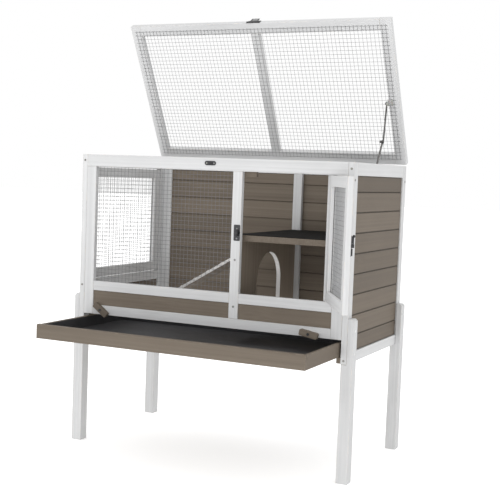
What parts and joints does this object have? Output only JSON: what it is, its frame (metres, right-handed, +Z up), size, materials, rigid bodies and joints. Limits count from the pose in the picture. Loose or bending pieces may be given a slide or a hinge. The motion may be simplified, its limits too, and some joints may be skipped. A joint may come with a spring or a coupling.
{
  "type": "rabbit hutch",
  "caption": "Raised wooden rabbit hutch with a propped mesh lid, mesh front and side doors, a pull-out tray, a shelf over a nest room with an arched doorway, and a ramp.",
  "frame": {"origin": "on the floor, at the middle of the four feet", "axes": "+X to the right seen from the front, +Y from the front to the back, +Z up"},
  "size_m": [1.0143, 0.7635, 1.3543],
  "materials": {
    "white_paint": "thin matt white paint over softwood grain",
    "taupe_paint": "matt grey-brown stain over softwood grain",
    "mesh_wire": "galvanised welded wire",
    "black_metal": "satin black",
    "zinc_steel": "zinc-plated",
    "black_plastic": "matt, lightly grained",
    "black_mat": "matt felted sheet"
  },
  "bodies": {
    "hutch": {"leg_front_left": "white_paint", "leg_front_right": "white_paint", "leg_rear_left": "white_paint", "leg_rear_right": "white_paint", "leg_screws": "zinc_steel", "left_side_frame": "white_paint", "left_side_boards": "taupe_paint", "right_side_frame": "white_paint", "right_side_boards": "taupe_paint", "front_frame": "white_paint", "front_mid_post": "white_paint", "front_strip_boards": "taupe_paint", "front_mesh": "mesh_wire", "door_stop_strip": "white_paint", "door_stop_block": "taupe_paint", "back_frame": "white_paint", "back_mid_post": "white_paint", "back_boards": "taupe_paint", "frame_screws": "zinc_steel", "tray_runners": "taupe_paint", "shelf_board": "taupe_paint", "shelf_mat": "black_mat", "divider": "taupe_paint", "ramp_hinge_shelf_leaves": "zinc_steel", "lid_hinge_body_leaves": "zinc_steel", "hasp_staple": "black_metal", "stay_lower_bracket": "zinc_steel", "front_jamb_leaves": "zinc_steel", "front_bolt_keeper": "black_metal", "side_jamb_leaves": "zinc_steel", "side_bolt_keeper": "black_metal", "turn_button_screws": "zinc_steel"},
    "lid": {"lid_frame": "white_paint", "lid_centre_bar": "white_paint", "lid_mesh": "mesh_wire", "lid_hinge_lid_leaves": "zinc_steel", "hasp_base": "black_metal", "stay_upper_bracket": "zinc_steel"},
    "hasp": {"hasp_strap": "black_metal"},
    "stay_lower": {"stay_lower_link": "zinc_steel"},
    "stay_upper": {"stay_upper_link": "zinc_steel"},
    "front_door": {"front_door_frame": "white_paint", "front_door_mesh": "mesh_wire", "front_door_leaves": "zinc_steel", "front_bolt_plate": "black_metal"},
    "front_bolt": {"front_bolt": "black_metal"},
    "side_door": {"side_door_frame": "white_paint", "side_door_mesh": "mesh_wire", "side_door_leaves": "zinc_steel", "side_bolt_plate": "black_metal"},
    "side_bolt": {"side_bolt": "black_metal"},
    "tray": {"tray_front": "taupe_paint", "tray_boards": "taupe_paint", "tray_base": "taupe_paint", "tray_liner": "black_plastic"},
    "ramp": {"ramp_board": "taupe_paint", "ramp_cleats": "taupe_paint", "ramp_hinge_ramp_leaves": "zinc_steel"},
    "turn_button_left": {"turn_button_left": "taupe_paint"},
    "turn_button_right": {"turn_button_right": "taupe_paint"}
  },
  "joints": [
    {"name": "lid_hinge", "type": "hinge", "parent": "hutch", "child": "lid", "pos_m": [0, 0.2447, 0.9092], "axis": [1, 0, 0], "range_deg": [0, 61.5]},
    {"name": "stay_lower_pivot", "type": "hinge", "parent": "hutch", "child": "stay_lower", "pos_m": [0.4085, 0.057, 0.885], "axis": [1, 0, 0], "range_deg": [-2, 190]},
    {"name": "stay_upper_pivot", "type": "hinge", "parent": "lid", "child": "stay_upper", "pos_m": [0.4107, 0.13426, 1.0973], "axis": [1, 0, 0], "range_deg": [-61, 2]},
    {"name": "hasp_hinge", "type": "hinge", "parent": "lid", "child": "hasp", "pos_m": [0, 0.01258, 1.34006], "axis": [1, 0, 0], "range_deg": [0, 178]},
    {"name": "front_door_hinge", "type": "hinge", "parent": "hutch", "child": "front_door", "pos_m": [0.3975, -0.2446, 0.692], "axis": [0, 0, 1], "range_deg": [-120, 50]},
    {"name": "front_bolt_slide", "type": "slide", "parent": "front_door", "child": "front_bolt", "axis": [0.5, -0.866, 0], "range_m": [0, 0.012]},
    {"name": "side_door_hinge", "type": "hinge", "parent": "hutch", "child": "side_door", "pos_m": [-0.4526, 0.2105, 0.692], "axis": [0, 0, 1], "range_deg": [-170, 0]},
    {"name": "side_bolt_slide", "type": "slide", "parent": "side_door", "child": "side_bolt", "axis": [0, -1, 0], "range_m": [0, 0.012]},
    {"name": "tray_slide", "type": "slide", "parent": "hutch", "child": "tray", "axis": [0, -1, 0], "range_m": [-0.25, 0.16]},
    {"name": "ramp_hinge", "type": "hinge", "parent": "hutch", "child": "ramp", "pos_m": [0.0723, 0.088, 0.6638], "axis": [0, 1, 0], "range_deg": [0, 55]},
    {"name": "turn_button_left_pivot", "type": "hinge", "parent": "hutch", "child": "turn_button_left", "pos_m": [-0.364, -0.2488, 0.425], "axis": [0, 1, 0], "range_deg": [-36, 54]},
    {"name": "turn_button_right_pivot", "type": "hinge", "parent": "hutch", "child": "turn_button_right", "pos_m": [0.336, -0.2488, 0.418], "axis": [0, 1, 0], "range_deg": [-10, 80]}
  ],
  "couplings": [
    {"joint": "stay_lower_pivot", "follows": "lid_hinge", "ratio": 3.0677},
    {"joint": "stay_upper_pivot", "follows": "lid_hinge", "ratio": -0.96263}
  ]
}
